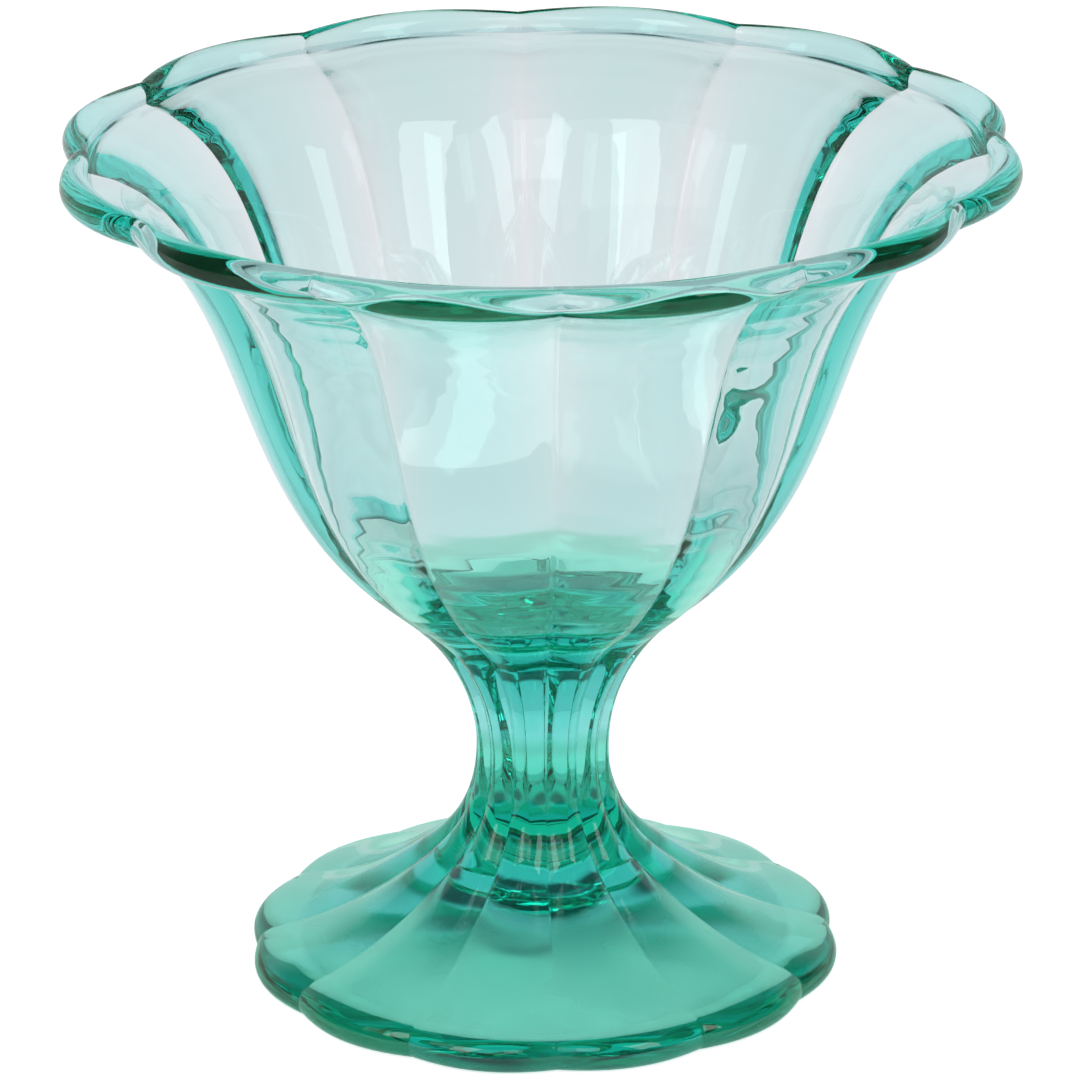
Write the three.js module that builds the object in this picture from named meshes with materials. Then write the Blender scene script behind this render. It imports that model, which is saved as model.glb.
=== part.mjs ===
// Footed ice cream dish in pressed green glass: a scalloped, flared bowl with a beaded rim, a waisted stem
// and a scalloped foot, fused to each other at two level planes.
// Millimetres, +Z up. The origin is the middle of the foot, on the surface that the dish stands on.
import * as THREE from 'three';

// The lobes run from rim to foot. Radii are taken at the lobes' crowns, and a notch is how far the sharp
// crease between two lobes lies inside the crown. Flares are angles from the vertical that open upwards.
const LOBES = 12;

// Foot
const FOOT_RADIUS = 38;
const FOOT_NOTCH = 1.4;
const FOOT_EDGE = 4.5;
const FOOT_HEIGHT = 16;
const FOOT_EDGE_FLARE_DEG = 78;
const RESTING_RING = 4;
const HOLLOW_DEPTH = 8.6;
const HOLLOW_RIM_FLARE_DEG = 70;
const HOLLOW_BEND_RADIUS = 9;
const HOLLOW_BEND_DEPTH = 7.3;
const HOLLOW_BEND_FLARE_DEG = 73;

// Stem, with its waist's height above its own base
const STEM_HEIGHT = 26.5;
const STEM_BASE_RADIUS = 14.1;
const STEM_BASE_FLARE_DEG = 52;
const STEM_WAIST_RADIUS = 8.5;
const STEM_WAIST_HEIGHT = 13;
const STEM_TOP_RADIUS = 12.7;
const STEM_TOP_FLARE_DEG = 34;
const STEM_NOTCH = 0.85;

// Bowl, with heights above its own base. It opens fastest at the shoulder, and the wall is set where the
// side is steepest. The inside is almost round, with a shallow notch that is set at the rim.
const BOWL_HEIGHT = 67;
const SHOULDER_RADIUS = 21.7;
const SHOULDER_HEIGHT = 8.7;
const SHOULDER_FLARE_DEG = 48;
const WALL_RADIUS = 37.1;
const WALL_HEIGHT = 33.5;
const WALL_FLARE_DEG = 20;
const WALL_NOTCH = 1.85;
const WALL_THICKNESS = 2.2;
const SHOULDER_THICKNESS = 2.3;
const FLOOR_THICKNESS = 7;
const FLOOR_RADIUS = 10.5;

// Rim bead and the lip that carries it. The rim dips at the notches, and the lip's two sides meet the bead
// at angles round its section, anticlockwise from its outermost point.
const RIM_RADIUS = 60;
const RIM_NOTCH = 4.3;
const INNER_NOTCH = 1;
const RIM_DIP = 0.4;
const BEAD_DIAMETER = 4.5;
const LIP_FLARE_DEG = 80;
const LIP_UNDERSIDE_MEETS_BEAD_DEG = -80;
const LIP_INSIDE_MEETS_BEAD_DEG = 196;

// Depth of a notch as a share of the crown radius, at the levels where the notches are set
const STEM_SHARE = STEM_NOTCH / STEM_WAIST_RADIUS;
const FOOT_SHARE = FOOT_NOTCH / FOOT_RADIUS;
const WALL_SHARE = WALL_NOTCH / WALL_RADIUS;
const RIM_SHARE = RIM_NOTCH / RIM_RADIUS;
const INNER_SHARE = INNER_NOTCH / (RIM_RADIUS - BEAD_DIAMETER);

// Fineness of the facets: steps round each lobe, and the longest steps along the outline and round beads
const STEPS_PER_LOBE = 6;
const OUTLINE_STEP = 4.6;
const ROUND_STEP = 1.7;

// A smooth outline between two points, leaving one and reaching the other at the flares given. The pull is
// how far each end's direction carries, as a share of the distance.
const SPAN_PULL = 0.36;

function heading(flare) {
  const angle = THREE.MathUtils.degToRad(flare);
  return new THREE.Vector2(Math.sin(angle), Math.cos(angle));
}

function span(start, startFlare, end, endFlare) {
  const pull = start.distanceTo(end) * SPAN_PULL;
  const startHandle = start.clone().addScaledVector(heading(startFlare), pull);
  const endHandle = end.clone().addScaledVector(heading(endFlare), -pull);
  return new THREE.CubicBezierCurve(start, startHandle, endHandle, end);
}

function onCircle(centre, radius, degrees) {
  return heading(90 - degrees).multiplyScalar(radius).add(centre);
}

function round(centre, radius, fromDegrees, toDegrees) {
  const from = THREE.MathUtils.degToRad(fromDegrees);
  const to = THREE.MathUtils.degToRad(toDegrees);
  return new THREE.EllipseCurve(centre.x, centre.y, radius, radius, from, to);
}

// Points along a curve. The notch share and the dip change evenly from the curve's start to its end.
function trace(curve, step, shares, dips = [0, 0]) {
  const pieces = Math.ceil(curve.getLength() / step);
  return curve.getPoints(pieces).map((point, i) => ({
    radius: point.x,
    height: point.y,
    share: THREE.MathUtils.lerp(shares[0], shares[1], i / pieces),
    dip: THREE.MathUtils.lerp(dips[0], dips[1], i / pieces),
  }));
}

// Joins traces into one outline, without the first point of each that carries on from the trace before it.
function joined(first, ...rest) {
  return [...first, ...rest.flatMap((points) => points.slice(1))];
}

function onAxis(height) {
  return { radius: 0, height, share: 0, dip: 0 };
}

// Each lobe's outline is an arc of a circle. With the crown at 1 and the notches at 1 - share, this is the
// radius at an angle from a notch.
function lobeRadius(angle, share) {
  const half = Math.PI / LOBES;
  const fromCrown = THREE.MathUtils.euclideanModulo(angle, 2 * half) - half;
  const notch = 1 - share;
  const centre = (1 - notch ** 2) / (2 * (1 - notch * Math.cos(half)));
  return centre * Math.cos(fromCrown) + Math.sqrt((1 - centre) ** 2 - (centre * Math.sin(fromCrown)) ** 2);
}

// Turns an outline about the vertical axis, draws every level in to its lobes and lowers it at the notches.
function turnLobed(outline) {
  const profile = outline.map((point) => new THREE.Vector2(point.radius, point.height));
  const geometry = new THREE.LatheGeometry(profile, LOBES * STEPS_PER_LOBE);
  const position = geometry.attributes.position;
  for (let i = 0; i < position.count; i += 1) {
    const { share, dip } = outline[i % outline.length];
    const x = position.getX(i);
    const z = position.getZ(i);
    const factor = lobeRadius(Math.atan2(x, z), share);
    const depth = share > 0 ? (1 - factor) / share : 0;
    position.setXYZ(i, x * factor, position.getY(i) - dip * depth, z * factor);
  }
  geometry.rotateX(Math.PI / 2);
  geometry.computeVertexNormals();
  return geometry;
}

// The foot: a hollow underside, a flat resting ring, a rounded edge, and a top that rises to the stem.
function footOutline() {
  const edgeRadius = FOOT_EDGE / 2;
  const edge = new THREE.Vector2(FOOT_RADIUS - edgeRadius, edgeRadius);
  const crest = onCircle(edge, edgeRadius, FOOT_EDGE_FLARE_DEG);
  const hollowRim = new THREE.Vector2(edge.x - FOOT_NOTCH - RESTING_RING, 0);
  const hollowBend = new THREE.Vector2(HOLLOW_BEND_RADIUS, HOLLOW_BEND_DEPTH);
  const hollowTop = new THREE.Vector2(0, HOLLOW_DEPTH);
  const hub = new THREE.Vector2(STEM_BASE_RADIUS, FOOT_HEIGHT);
  const crown = span(hollowTop, 90, hollowBend, 180 - HOLLOW_BEND_FLARE_DEG);
  const side = span(hollowBend, 180 - HOLLOW_BEND_FLARE_DEG, hollowRim, 180 - HOLLOW_RIM_FLARE_DEG);
  const top = span(crest, -FOOT_EDGE_FLARE_DEG, hub, -STEM_BASE_FLARE_DEG);
  return [
    ...joined(trace(crown, OUTLINE_STEP, [0, 0]), trace(side, OUTLINE_STEP, [0, 0])),
    ...joined(
      trace(round(edge, edgeRadius, -90, FOOT_EDGE_FLARE_DEG), ROUND_STEP, [FOOT_SHARE, FOOT_SHARE]),
      trace(top, OUTLINE_STEP, [FOOT_SHARE, STEM_SHARE]),
    ),
    onAxis(FOOT_HEIGHT),
  ];
}

// The stem: a solid column, narrowest at its waist, with level ends.
function stemOutline() {
  const base = new THREE.Vector2(STEM_BASE_RADIUS, 0);
  const waist = new THREE.Vector2(STEM_WAIST_RADIUS, STEM_WAIST_HEIGHT);
  const top = new THREE.Vector2(STEM_TOP_RADIUS, STEM_HEIGHT);
  const reeded = [STEM_SHARE, STEM_SHARE];
  return [
    onAxis(0),
    ...joined(
      trace(span(base, -STEM_BASE_FLARE_DEG, waist, 0), OUTLINE_STEP / 2, reeded),
      trace(span(waist, 0, top, STEM_TOP_FLARE_DEG), OUTLINE_STEP / 2, reeded),
    ),
    onAxis(STEM_HEIGHT),
  ];
}

// The bowl: up the outside from the stem to the lip, over the bead, and down the inside to the floor. The
// inside follows the outside at the wall's thickness.
function bowlOutline() {
  const base = new THREE.Vector2(STEM_TOP_RADIUS, 0);
  const shoulder = new THREE.Vector2(SHOULDER_RADIUS, SHOULDER_HEIGHT);
  const wall = new THREE.Vector2(WALL_RADIUS, WALL_HEIGHT);
  const beadRadius = BEAD_DIAMETER / 2;
  const bead = new THREE.Vector2(RIM_RADIUS - beadRadius, BOWL_HEIGHT - beadRadius);
  const lip = onCircle(bead, beadRadius, LIP_UNDERSIDE_MEETS_BEAD_DEG);
  const lipInside = onCircle(bead, beadRadius, LIP_INSIDE_MEETS_BEAD_DEG);
  const wallInside = wall.clone().addScaledVector(heading(WALL_FLARE_DEG - 90), WALL_THICKNESS);
  const intoWall = heading(SHOULDER_FLARE_DEG - 90);
  const shoulderInside = shoulder.clone().addScaledVector(intoWall, SHOULDER_THICKNESS);
  const floor = new THREE.Vector2(FLOOR_RADIUS, FLOOR_THICKNESS);

  const opening = span(base, STEM_TOP_FLARE_DEG, shoulder, SHOULDER_FLARE_DEG);
  const side = span(shoulder, SHOULDER_FLARE_DEG, wall, WALL_FLARE_DEG);
  const underLip = span(wall, WALL_FLARE_DEG, lip, LIP_FLARE_DEG);
  const overBead = round(bead, beadRadius, LIP_UNDERSIDE_MEETS_BEAD_DEG, LIP_INSIDE_MEETS_BEAD_DEG);
  const insideLip = span(lipInside, LIP_FLARE_DEG - 180, wallInside, WALL_FLARE_DEG - 180);
  const insideSide = span(wallInside, WALL_FLARE_DEG - 180, shoulderInside, SHOULDER_FLARE_DEG - 180);
  const bottom = span(shoulderInside, SHOULDER_FLARE_DEG - 180, floor, -90);
  const inside = [INNER_SHARE, INNER_SHARE];
  return [
    onAxis(0),
    ...joined(
      trace(opening, OUTLINE_STEP, [STEM_SHARE, WALL_SHARE]),
      trace(side, OUTLINE_STEP, [WALL_SHARE, WALL_SHARE]),
      trace(underLip, OUTLINE_STEP, [WALL_SHARE, RIM_SHARE], [0, RIM_DIP]),
      trace(overBead, ROUND_STEP, [RIM_SHARE, INNER_SHARE], [RIM_DIP, RIM_DIP]),
      trace(insideLip, OUTLINE_STEP, inside, [RIM_DIP, 0]),
      trace(insideSide, OUTLINE_STEP, inside),
      trace(bottom, OUTLINE_STEP / 2, inside),
    ),
    onAxis(FLOOR_THICKNESS),
  ];
}

// Every piece is the same glass, which is deeper in colour where it is thicker.
const POLISHED_ROUGHNESS = 0.04;

function glass(name, outline, colour, height) {
  const material = new THREE.MeshStandardMaterial({
    color: colour,
    roughness: POLISHED_ROUGHNESS,
    metalness: 0,
  });
  const mesh = new THREE.Mesh(turnLobed(outline), material);
  mesh.name = name;
  mesh.position.z = height;
  return mesh;
}

const dish = new THREE.Group();
dish.add(glass('foot', footOutline(), 0x5cc4ae, 0));
dish.add(glass('stem', stemOutline(), 0x3fb89c, FOOT_HEIGHT));
dish.add(glass('bowl', bowlOutline(), 0xc8e2e2, FOOT_HEIGHT + STEM_HEIGHT));

export default dish;
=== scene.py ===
import math

import bmesh
import bpy
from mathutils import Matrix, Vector
from mathutils.geometry import interpolate_bezier


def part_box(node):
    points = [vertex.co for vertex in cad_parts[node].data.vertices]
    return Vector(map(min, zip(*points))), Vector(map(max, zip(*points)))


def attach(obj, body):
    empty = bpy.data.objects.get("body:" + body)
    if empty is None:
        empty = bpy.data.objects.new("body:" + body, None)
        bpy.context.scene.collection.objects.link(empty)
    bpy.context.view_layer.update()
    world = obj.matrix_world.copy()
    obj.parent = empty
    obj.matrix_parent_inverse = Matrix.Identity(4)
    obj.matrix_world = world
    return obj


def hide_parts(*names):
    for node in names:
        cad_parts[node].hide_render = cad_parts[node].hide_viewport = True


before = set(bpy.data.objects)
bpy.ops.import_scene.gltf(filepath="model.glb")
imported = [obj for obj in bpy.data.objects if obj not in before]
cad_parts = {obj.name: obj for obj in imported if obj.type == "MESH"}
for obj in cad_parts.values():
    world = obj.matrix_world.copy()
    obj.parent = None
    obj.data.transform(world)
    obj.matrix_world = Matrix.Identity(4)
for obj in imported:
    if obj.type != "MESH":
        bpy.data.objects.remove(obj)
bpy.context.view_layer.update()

# Footed ice cream dish in pressed green glass. Bowl, stem and foot are fused, so the eye sees one clear
# body with one skin: it is modelled as one piece, which stands for the three solids of the frame.
# Metres, +Z up, with the middle of the foot at the origin.

MM = 0.001
HAIR = 0.05 * MM


def reach(node, height=None):
    """How far a node of the frame stands out from the axis, over all of it or at one height."""
    points = [vertex.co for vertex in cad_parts[node].data.vertices]
    if height is not None:
        points = [point for point in points if abs(point.z - height) < HAIR]
    return max(point.xy.length for point in points)


# Sizes that the frame gives: the levels where the pieces are fused, and the crowns of the lobes there
FOOT_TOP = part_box("foot")[1].z
STEM_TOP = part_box("stem")[1].z
RIM_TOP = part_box("bowl")[1].z
FOOT_RADIUS = reach("foot")
STEM_BASE_RADIUS = reach("stem", FOOT_TOP)
STEM_TOP_RADIUS = reach("stem", STEM_TOP)
RIM_RADIUS = reach("bowl")

# The lobes, and how deep the crease between two of them lies, as a share of the radius at the crown
LOBES = 12
STEM_SHARE = 0.1
FOOT_SHARE = 0.037
WALL_SHARE = 0.05
RIM_SHARE = 0.072
INNER_SHARE = 0.009

# Foot
FOOT_EDGE = 4.5 * MM
RESTING_RING = 4 * MM
HOLLOW_DEPTH = 8.6 * MM
HOLLOW_SIDE = Vector((9 * MM, 7.3 * MM))

# Stem and bowl: radius and height where the outline turns
WAIST = Vector((8.5 * MM, FOOT_TOP + 13 * MM))
SHOULDER = Vector((21.7 * MM, STEM_TOP + 8.7 * MM))
WALL = Vector((37.1 * MM, STEM_TOP + 33.5 * MM))
WALL_THICKNESS = 2.2 * MM
SHOULDER_THICKNESS = 2.3 * MM
FLOOR_THICKNESS = 7 * MM
FLOOR_RADIUS = 10.5 * MM

# Rim bead, which dips at the creases
BEAD = 4.5 * MM
RIM_DIP = 0.4 * MM

# Flares are angles from the vertical, in degrees, that open upwards.
FOOT_EDGE_FLARE = 78
HOLLOW_FLARE = 70
HOLLOW_SIDE_FLARE = 73
STEM_BASE_FLARE = 52
STEM_TOP_FLARE = 34
SHOULDER_FLARE = 48
WALL_FLARE = 20
LIP_FLARE = 80
LIP_INSIDE_FLARE = 80

# Where the lip's two sides meet the bead, in degrees round its section from its outermost point
LIP_UNDERSIDE_MEETS_BEAD = -80
LIP_INSIDE_MEETS_BEAD = 196

# Columns of each lobe, in degrees from the crease to the crown. The first two lie close together, so the
# crease is crisp.
COLUMNS = (0, 1.6, 8, 15)
COLUMN_HAIR = 0.3
CREASE_SHARPNESS = 0.5
GROOVE_SHARPNESS = 0.9

# Spacing of the rings along the outline and round its beads, and how far the flare at each end of a
# stretch carries, as a share of its length
RING_SPACING = 3.9 * MM
ROUND_SPACING = 1.15 * MM
SPAN_PULL = 0.36


def heading(flare):
    return Vector((math.sin(math.radians(flare)), math.cos(math.radians(flare))))


def on_circle(centre, radius, degrees):
    return centre + radius * heading(90 - degrees)


def between(ends, along):
    return ends[0] + (ends[1] - ends[0]) * along


def span(start, start_flare, end, end_flare, shares, dips=(0, 0)):
    """Rings along a smooth stretch of the outline, each with its radius, height, crease depth and dip."""
    pull = (end - start).length * SPAN_PULL
    handles = start + pull * heading(start_flare), end - pull * heading(end_flare)
    steps = math.ceil((end - start).length / RING_SPACING)
    points = interpolate_bezier(start, *handles, end, steps + 1)
    return [(*point, between(shares, i / steps), between(dips, i / steps)) for i, point in enumerate(points)]


def round_edge(centre, radius, turn, shares, dip):
    """Rings along an arc of the outline."""
    steps = math.ceil(radius * math.radians(turn[1] - turn[0]) / ROUND_SPACING)
    points = [on_circle(centre, radius, between(turn, i / steps)) for i in range(steps + 1)]
    return [(*point, between(shares, i / steps), dip) for i, point in enumerate(points)]


def bead_middle():
    return Vector((RIM_RADIUS - BEAD / 2, RIM_TOP - BEAD / 2))


def groove():
    """Where the lip's inside meets the bead."""
    return on_circle(bead_middle(), BEAD / 2, LIP_INSIDE_MEETS_BEAD)


def dish_outline():
    """From the hollow under the foot, round its edge, up the stem and bowl, over the rim, to the floor."""
    edge = Vector((FOOT_RADIUS - FOOT_EDGE / 2, FOOT_EDGE / 2))
    crest = on_circle(edge, FOOT_EDGE / 2, FOOT_EDGE_FLARE)
    hollow_top = Vector((0, HOLLOW_DEPTH))
    hollow_rim = Vector((edge.x * (1 - FOOT_SHARE) - RESTING_RING, 0))
    hub = Vector((STEM_BASE_RADIUS, FOOT_TOP))
    stem_top = Vector((STEM_TOP_RADIUS, STEM_TOP))
    bead = bead_middle()
    lip = on_circle(bead, BEAD / 2, LIP_UNDERSIDE_MEETS_BEAD)
    wall_inside = WALL + WALL_THICKNESS * heading(WALL_FLARE - 90)
    shoulder_inside = SHOULDER + SHOULDER_THICKNESS * heading(SHOULDER_FLARE - 90)
    floor_edge = Vector((FLOOR_RADIUS, STEM_TOP + FLOOR_THICKNESS))
    floor_middle = Vector((0, floor_edge.y))
    over_bead = LIP_UNDERSIDE_MEETS_BEAD, LIP_INSIDE_MEETS_BEAD
    plain = 0, 0
    footed = FOOT_SHARE, FOOT_SHARE
    foot_to_stem = FOOT_SHARE, STEM_SHARE
    reeded = STEM_SHARE, STEM_SHARE
    stem_to_wall = STEM_SHARE, WALL_SHARE
    panelled = WALL_SHARE, WALL_SHARE
    wall_to_rim = WALL_SHARE, RIM_SHARE
    rim_to_inside = RIM_SHARE, INNER_SHARE
    inside = INNER_SHARE, INNER_SHARE
    inside_to_plain = INNER_SHARE, 0
    stretches = [
        span(hollow_top, 90, HOLLOW_SIDE, 180 - HOLLOW_SIDE_FLARE, plain),
        span(HOLLOW_SIDE, 180 - HOLLOW_SIDE_FLARE, hollow_rim, 180 - HOLLOW_FLARE, plain),
        round_edge(edge, FOOT_EDGE / 2, (-90, FOOT_EDGE_FLARE), footed, 0),
        span(crest, -FOOT_EDGE_FLARE, hub, -STEM_BASE_FLARE, foot_to_stem),
        span(hub, -STEM_BASE_FLARE, WAIST, 0, reeded),
        span(WAIST, 0, stem_top, STEM_TOP_FLARE, reeded),
        span(stem_top, STEM_TOP_FLARE, SHOULDER, SHOULDER_FLARE, stem_to_wall),
        span(SHOULDER, SHOULDER_FLARE, WALL, WALL_FLARE, panelled),
        span(WALL, WALL_FLARE, lip, LIP_FLARE, wall_to_rim, (0, RIM_DIP)),
        round_edge(bead, BEAD / 2, over_bead, rim_to_inside, RIM_DIP),
        span(groove(), LIP_INSIDE_FLARE - 180, wall_inside, WALL_FLARE - 180, inside, (RIM_DIP, 0)),
        span(wall_inside, WALL_FLARE - 180, shoulder_inside, SHOULDER_FLARE - 180, inside),
        span(shoulder_inside, SHOULDER_FLARE - 180, floor_edge, -90, inside),
        span(floor_edge, -90, floor_middle, -90, inside_to_plain),
    ]
    rings = []
    for ring in (ring for stretch in stretches for ring in stretch):
        on_axis = ring[0] < HAIR
        repeated = rings and math.dist(ring[:2], rings[-1][:2]) < HAIR
        if not on_axis and not repeated:
            rings.append(ring)
    return rings


def lobe_place(ring, degrees):
    """Radius and height of a ring at an angle from a crease. Each lobe's outline is an arc of a circle."""
    radius, height, share, dip = ring
    half = math.pi / LOBES
    crease = 1 - share
    centre = (1 - crease**2) / (2 * (1 - crease * math.cos(half)))
    from_crown = math.radians(degrees) - half
    across = centre * math.sin(from_crown)
    factor = centre * math.cos(from_crown) + math.sqrt((1 - centre) ** 2 - across**2)
    depth = (1 - factor) / share if share else 0
    return radius * factor, height - dip * depth


def from_crease(vertex):
    """Angle of a vertex from the nearest crease, in degrees, signed. A crease faces -Y."""
    pitch = 360 / LOBES
    angle = math.degrees(math.atan2(vertex.co.x, -vertex.co.y))
    return (angle + pitch / 2) % pitch - pitch / 2


def on_crease(vertex):
    """Whether a vertex lies on a crease, which runs out towards the middle."""
    return vertex.co.xy.length > FLOOR_RADIUS / 2 and abs(from_crease(vertex)) < COLUMN_HAIR


def select_only(skin, wanted):
    bpy.ops.mesh.select_all(action="DESELECT")
    for vertex in wanted:
        vertex.select = True
    skin.select_flush(True)


def start_ring(ring):
    """A disc under the hub, whose columns are turned about the axis to their places in the lobes."""
    per_lobe = 2 * (len(COLUMNS) - 1)
    place = (0, 0, ring[1])
    bpy.ops.object.select_all(action="DESELECT")
    bpy.ops.mesh.primitive_circle_add(
        vertices=LOBES * per_lobe, radius=ring[0], fill_type="TRIFAN", location=place
    )
    piece = bpy.context.object
    bpy.ops.object.transform_apply(location=True)
    bpy.ops.object.mode_set(mode="EDIT")
    bpy.ops.mesh.select_mode(type="VERT")
    skin = bmesh.from_edit_mesh(piece.data)
    rim = [vertex for vertex in skin.verts if vertex.co.xy.length > HAIR]
    even = 360 / LOBES / per_lobe
    for index, degrees in enumerate(COLUMNS):
        for side in (-1, 1):
            now = side * even * index
            column = [vertex for vertex in rim if abs(from_crease(vertex) - now) < even / 4]
            if degrees != abs(now):
                select_only(skin, column)
                turn = math.radians(side * degrees - now)
                bpy.ops.transform.rotate(value=-turn, orient_axis="Z", center_override=(0, 0, 0))
    select_only(skin, rim)
    return piece


def next_ring(piece, before, ring):
    """Extrudes the last ring, and draws each set of columns to its place on the next."""
    bpy.ops.mesh.extrude_region_move()
    skin = bmesh.from_edit_mesh(piece.data)
    newest = [vertex for vertex in skin.verts if vertex.select]
    for degrees in COLUMNS:
        column = [vertex for vertex in newest if abs(abs(from_crease(vertex)) - degrees) < COLUMN_HAIR]
        select_only(skin, column)
        old_radius, old_height = lobe_place(before, degrees)
        radius, height = lobe_place(ring, degrees)
        scale = radius / old_radius
        bpy.ops.transform.resize(value=(scale, scale, 1), center_override=(0, 0, 0))
        bpy.ops.transform.translate(value=(0, 0, height - old_height))
    select_only(skin, newest)


def pressed_glass():
    rings = dish_outline()
    piece = start_ring(rings[0])
    piece.name = "pressed_glass"
    for before, ring in zip(rings, rings[1:]):
        next_ring(piece, before, ring)
        if math.dist(ring[:2], groove()) < HAIR:
            bpy.ops.transform.edge_crease(value=GROOVE_SHARPNESS)
    bpy.ops.mesh.extrude_region_move()
    bpy.ops.mesh.merge(type="CENTER")
    bpy.ops.mesh.select_all(action="SELECT")
    bpy.ops.mesh.normals_make_consistent(inside=False)
    skin = bmesh.from_edit_mesh(piece.data)
    bpy.ops.mesh.select_all(action="DESELECT")
    for edge in skin.edges:
        edge.select = all(on_crease(vertex) for vertex in edge.verts)
    bpy.ops.transform.edge_crease(value=CREASE_SHARPNESS)
    bpy.ops.object.mode_set(mode="OBJECT")
    smoothing = piece.modifiers.new("smoothing", "SUBSURF")
    smoothing.levels = 2
    smoothing.render_levels = 2
    bpy.ops.object.modifier_apply(modifier=smoothing.name)
    bpy.ops.object.shade_smooth()
    return piece


def linear(colour):
    """A hex colour as the linear values that shaders take."""
    parts = [int(colour[i : i + 2], 16) / 255 for i in (1, 3, 5)]
    return [p / 12.92 if p <= 0.04045 else ((p + 0.055) / 1.055) ** 2.4 for p in parts] + [1]


def add_node(tree, kind, settings, inputs):
    """Adds a node, sets its properties, and sets or links its sockets."""
    node = tree.nodes.new(kind)
    for name, value in settings.items():
        setattr(node, name, value)
    for name, value in inputs.items():
        if isinstance(value, bpy.types.NodeSocket):
            tree.links.new(value, node.inputs[name])
        else:
            node.inputs[name].default_value = value
    return node


# The underside of the foot lies below a shallow cone, and is fire-polished only at its middle and ring.
UNDERSIDE_TOP = 11.5 * MM
UNDERSIDE_SLOPE = 0.3
GRAIN_FROM = 8 * MM, 13 * MM
GRAIN_TO = 31 * MM, 29.5 * MM
GRAIN = 0.3
PATCH_SIZE = 9 * MM

# The waves that the mould leaves all over
WAVE_LENGTH = 8 * MM
WAVE_HEIGHT = 0.035 * MM


def green_glass():
    """Soda-lime glass, pressed and fire-polished, tinted in the mass: pale where thin, deep where thick.
    Waves from the mould break up its reflections, and a patchy grain under the foot makes that milky."""
    material = bpy.data.materials.new("pressed_soda_lime_glass")
    material.use_nodes = True
    tree = material.node_tree
    tree.nodes.clear()
    where = add_node(tree, "ShaderNodeTexCoord", {}, {}).outputs["Object"]
    height = add_node(tree, "ShaderNodeSeparateXYZ", {}, {0: where}).outputs["Z"]
    level = add_node(tree, "ShaderNodeVectorMath", {"operation": "MULTIPLY"}, {0: where, 1: (1, 1, 0)})
    length = add_node(tree, "ShaderNodeVectorMath", {"operation": "LENGTH"}, {0: level.outputs[0]})
    from_axis = length.outputs["Value"]
    cone = add_node(
        tree,
        "ShaderNodeMath",
        {"operation": "MULTIPLY_ADD"},
        {0: from_axis, 1: UNDERSIDE_SLOPE, 2: height},
    )
    low = add_node(
        tree,
        "ShaderNodeMath",
        {"operation": "LESS_THAN"},
        {0: cone.outputs[0], 1: UNDERSIDE_TOP},
    )
    starts = add_node(
        tree,
        "ShaderNodeMapRange",
        {},
        {"Value": from_axis, "From Min": GRAIN_FROM[0], "From Max": GRAIN_FROM[1], "To Max": GRAIN},
    )
    stops = add_node(
        tree,
        "ShaderNodeMapRange",
        {},
        {"Value": from_axis, "From Min": GRAIN_TO[0], "From Max": GRAIN_TO[1]},
    )
    ring = add_node(
        tree,
        "ShaderNodeMath",
        {"operation": "MULTIPLY"},
        {0: starts.outputs[0], 1: stops.outputs[0]},
    )
    underside = add_node(
        tree,
        "ShaderNodeMath",
        {"operation": "MULTIPLY"},
        {0: ring.outputs[0], 1: low.outputs[0]},
    )
    patches = add_node(
        tree,
        "ShaderNodeTexNoise",
        {},
        {"Vector": where, "Scale": 1 / PATCH_SIZE, "Detail": 1},
    )
    uneven = add_node(
        tree,
        "ShaderNodeMapRange",
        {},
        {"Value": patches.outputs[0], "From Min": 0.3, "From Max": 0.7, "To Min": 0.35, "To Max": 1.3},
    )
    grain = add_node(
        tree,
        "ShaderNodeMath",
        {"operation": "MULTIPLY"},
        {0: underside.outputs[0], 1: uneven.outputs[0]},
    )
    waves = add_node(
        tree,
        "ShaderNodeTexNoise",
        {},
        {"Vector": where, "Scale": 1 / WAVE_LENGTH, "Detail": 1},
    )
    ripple = add_node(
        tree,
        "ShaderNodeBump",
        {},
        {"Strength": 1, "Distance": WAVE_HEIGHT, "Height": waves.outputs[0]},
    )
    glass = add_node(
        tree,
        "ShaderNodeBsdfPrincipled",
        {},
        {
            "Base Color": linear("#FFFFFF"),
            "Roughness": grain.outputs[0],
            "IOR": 1.52,
            "Transmission Weight": 1,
            "Normal": ripple.outputs[0],
        },
    )
    tint = add_node(tree, "ShaderNodeVolumeAbsorption", {}, {"Color": linear("#56F4ED"), "Density": 112})
    add_node(
        tree,
        "ShaderNodeOutputMaterial",
        {},
        {"Surface": glass.outputs["BSDF"], "Volume": tint.outputs["Volume"]},
    )
    return material


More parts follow.
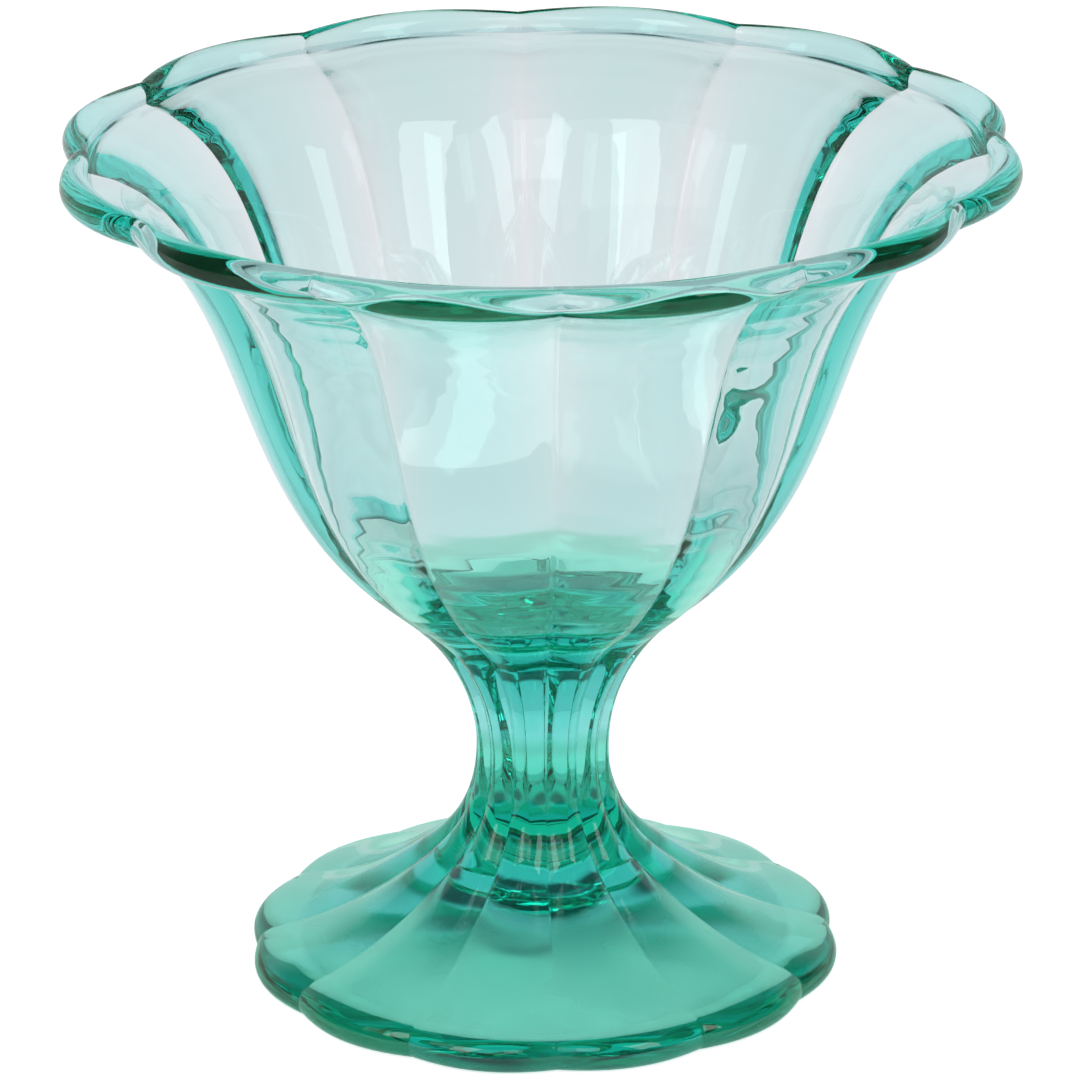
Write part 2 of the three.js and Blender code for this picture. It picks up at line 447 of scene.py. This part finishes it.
def studio():
    """A dim room with a bright backdrop behind the dish, which the glass shows, on a white background."""
    world = bpy.data.worlds.new("studio")
    bpy.context.scene.world = world
    world.use_nodes = True
    tree = world.node_tree
    tree.nodes.clear()
    rays = add_node(tree, "ShaderNodeLightPath", {}, {})
    where = add_node(tree, "ShaderNodeTexCoord", {}, {})
    way = add_node(tree, "ShaderNodeSeparateXYZ", {}, {0: where.outputs["Generated"]})
    behind = add_node(
        tree,
        "ShaderNodeMapRange",
        {"interpolation_type": "SMOOTHSTEP"},
        {"Value": way.outputs["Y"], "From Min": 0.1, "From Max": 0.6, "To Max": 0.75},
    )
    top = add_node(
        tree,
        "ShaderNodeMapRange",
        {"interpolation_type": "SMOOTHSTEP"},
        {"Value": way.outputs["Z"], "From Min": 0.48, "From Max": 0.68, "To Min": 1, "To Max": 0},
    )
    backdrop = add_node(
        tree,
        "ShaderNodeMath",
        {"operation": "MULTIPLY"},
        {0: behind.outputs[0], 1: top.outputs[0]},
    )
    around = add_node(
        tree,
        "ShaderNodeMath",
        {"operation": "MAXIMUM"},
        {0: 0.1, 1: backdrop.outputs[0]},
    )
    by_glass = add_node(
        tree,
        "ShaderNodeMath",
        {"operation": "MAXIMUM"},
        {0: rays.outputs["Is Glossy Ray"], 1: rays.outputs["Is Transmission Ray"]},
    )
    fill = add_node(tree, "ShaderNodeBackground", {}, {"Color": linear("#FFFFFF"), "Strength": 0.44})
    room = add_node(
        tree,
        "ShaderNodeBackground",
        {},
        {"Color": linear("#EAF2F8"), "Strength": around.outputs[0]},
    )
    white = add_node(tree, "ShaderNodeBackground", {}, {"Color": linear("#FFFFFF"), "Strength": 1})
    lit = add_node(
        tree,
        "ShaderNodeMixShader",
        {},
        {0: by_glass.outputs[0], 1: fill.outputs[0], 2: room.outputs[0]},
    )
    seen = add_node(
        tree,
        "ShaderNodeMixShader",
        {},
        {0: rays.outputs["Is Camera Ray"], 1: lit.outputs[0], 2: white.outputs[0]},
    )
    add_node(tree, "ShaderNodeOutputWorld", {}, {"Surface": seen.outputs[0]})


# Painted light on the floor, which only the glass shows: a painted pool of green light close to the dish,
# standing for light that has come through it, a painted shadow behind the hub, and painted shade that leaves
# it bright to the back and dim in front
PAINTED_GREEN_MIDDLE = 0, 30 * MM, 0
PAINTED_GREEN_EDGE = 50 * MM, 95 * MM
SHADE_MIDDLE = 0, 17 * MM, 0
SHADE_EDGE = 5 * MM, 13 * MM
NEAR_EDGE = 60 * MM, 85 * MM
FRONT_TO_BACK = 10 * MM, 120 * MM


def floor():
    """White paper, which keeps the shadow and is lifted to white where the eye sees it. To the glass it
    glows with painted light: green near the dish, a painted shadow behind the hub and painted shade in
    front.
    """
    bpy.ops.object.select_all(action="DESELECT")
    bpy.ops.mesh.primitive_plane_add(size=6, location=(0, 0, 0))
    sheet = bpy.context.object
    sheet.name = "floor"
    material = bpy.data.materials.new("white_paper_and_painted_glow")
    material.use_nodes = True
    tree = material.node_tree
    tree.nodes.clear()
    rays = add_node(tree, "ShaderNodeLightPath", {}, {})
    paper = add_node(tree, "ShaderNodeBsdfDiffuse", {}, {"Color": linear("#D3D0D3")})
    where = add_node(tree, "ShaderNodeTexCoord", {}, {}).outputs["Object"]
    back = add_node(tree, "ShaderNodeSeparateXYZ", {}, {0: where}).outputs["Y"]
    out = add_node(tree, "ShaderNodeVectorMath", {"operation": "LENGTH"}, {0: where})
    from_green = add_node(
        tree,
        "ShaderNodeVectorMath",
        {"operation": "DISTANCE"},
        {0: where, 1: PAINTED_GREEN_MIDDLE},
    )
    clear = add_node(
        tree,
        "ShaderNodeMapRange",
        {"interpolation_type": "SMOOTHSTEP"},
        {"Value": from_green.outputs["Value"], "From Min": PAINTED_GREEN_EDGE[0], "From Max": PAINTED_GREEN_EDGE[1]},
    )
    # Painted shadow behind the hub: the glow that the glass sees falls to 0.1 in a spot there
    from_shade = add_node(
        tree,
        "ShaderNodeVectorMath",
        {"operation": "DISTANCE"},
        {0: where, 1: SHADE_MIDDLE},
    )
    painted_hub_shadow = add_node(
        tree,
        "ShaderNodeMapRange",
        {"interpolation_type": "SMOOTHSTEP"},
        {
            "Value": from_shade.outputs["Value"],
            "From Min": SHADE_EDGE[0],
            "From Max": SHADE_EDGE[1],
            "To Min": 0.1,
            "To Max": 0.57,
        },
    )
    # Painted shade away from the dish: the glow that the glass sees is dim in front and bright to the back
    around = add_node(
        tree,
        "ShaderNodeMapRange",
        {"interpolation_type": "SMOOTHSTEP"},
        {
            "Value": back,
            "From Min": FRONT_TO_BACK[0],
            "From Max": FRONT_TO_BACK[1],
            "To Min": 0.1,
            "To Max": 0.52,
        },
    )
    # The painted glow's strength: the hub's painted shadow near the dish, the painted front shade farther
    # out
    painted_glow = add_node(
        tree,
        "ShaderNodeMapRange",
        {"interpolation_type": "SMOOTHSTEP"},
        {
            "Value": out.outputs["Value"],
            "From Min": NEAR_EDGE[0],
            "From Max": NEAR_EDGE[1],
            "To Min": painted_hub_shadow.outputs[0],
            "To Max": around.outputs[0],
        },
    )
    # Painted green light near the dish, as if it had come through the glass, and pale floor light farther
    # out, both at the painted glow's strength
    painted_green_light = add_node(
        tree,
        "ShaderNodeEmission",
        {},
        {"Color": linear("#A4F2D8"), "Strength": painted_glow.outputs[0]},
    )
    pale = add_node(
        tree,
        "ShaderNodeEmission",
        {},
        {"Color": linear("#F6F5F9"), "Strength": painted_glow.outputs[0]},
    )
    to_glass = add_node(
        tree,
        "ShaderNodeMixShader",
        {},
        {0: clear.outputs[0], 1: painted_green_light.outputs[0], 2: pale.outputs[0]},
    )
    by_glass = add_node(
        tree,
        "ShaderNodeMath",
        {"operation": "MAXIMUM"},
        {0: rays.outputs["Is Glossy Ray"], 1: rays.outputs["Is Transmission Ray"]},
    )
    none = add_node(tree, "ShaderNodeEmission", {}, {"Strength": 0})
    unseen = add_node(
        tree,
        "ShaderNodeMixShader",
        {},
        {0: by_glass.outputs[0], 1: none.outputs[0], 2: to_glass.outputs[0]},
    )
    to_eye = add_node(tree, "ShaderNodeEmission", {}, {"Color": linear("#FFFFFF"), "Strength": 0.8})
    lift = add_node(
        tree,
        "ShaderNodeMixShader",
        {},
        {0: rays.outputs["Is Camera Ray"], 1: unseen.outputs[0], 2: to_eye.outputs[0]},
    )
    both = add_node(tree, "ShaderNodeAddShader", {}, {0: paper.outputs[0], 1: lift.outputs[0]})
    add_node(tree, "ShaderNodeOutputMaterial", {}, {"Surface": both.outputs[0]})
    sheet.data.materials.append(material)


# Camera, with its tilt, turn and roll in degrees
CAMERA_DISTANCE = 761.9 * MM
CAMERA_HEIGHT = 347.9 * MM
CAMERA_BESIDE = -0.13 * MM
CAMERA_TILT = 20.92
CAMERA_TURN = 2.55
CAMERA_ROLL = 0.42
LENS = 217.4


def camera():
    turn = math.radians(CAMERA_TURN)
    place = (
        CAMERA_BESIDE * math.cos(turn) - CAMERA_DISTANCE * math.sin(turn),
        -CAMERA_BESIDE * math.sin(turn) - CAMERA_DISTANCE * math.cos(turn),
        CAMERA_HEIGHT,
    )
    bpy.ops.object.camera_add(location=place, rotation=(math.radians(90 - CAMERA_TILT), 0, -turn))
    view = bpy.context.object
    view.rotation_euler.rotate_axis("Z", -math.radians(CAMERA_ROLL))
    view.data.lens = LENS
    bpy.context.scene.camera = view


def softbox(name, azimuth, elevation, distance, size, brightness):
    """A lit panel that faces the dish. Azimuth is from the front, and brightness is what the eye sees."""
    turn = math.radians(azimuth)
    rise = math.radians(elevation)
    away = Vector((math.sin(turn) * math.cos(rise), -math.cos(turn) * math.cos(rise), math.sin(rise)))
    bpy.ops.object.light_add(type="AREA", location=away * distance)
    lamp = bpy.context.object
    lamp.name = name
    lamp.data.shape = "RECTANGLE"
    lamp.data.size, lamp.data.size_y = size
    lamp.data.energy = brightness * math.pi * size[0] * size[1]
    lamp.rotation_euler = away.to_track_quat("Z", "Y").to_euler()


dish = pressed_glass()
dish.data.materials.append(green_glass())
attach(dish, "root")
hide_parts("bowl", "stem", "foot")

floor()
studio()

# Windows in front of the dish, which the far wall of the bowl mirrors
softbox("window_left", -38, 41, 1.0, (1.0, 0.48), 0.6)
softbox("pane_left", -43, 37, 0.99, (0.25, 0.58), 2.6)
softbox("pane_right", 43, 37, 1.0, (0.3, 0.6), 2.6)
softbox("window_ahead", -2, 44, 1.0, (0.2, 0.4), 1.2)
camera()
bpy.context.scene.view_settings.view_transform = "Standard"

# Light goes to and fro in thick glass many times before it leaves it.
paths = bpy.context.scene.cycles
paths.max_bounces = 32
paths.glossy_bounces = 32
paths.transmission_bounces = 32
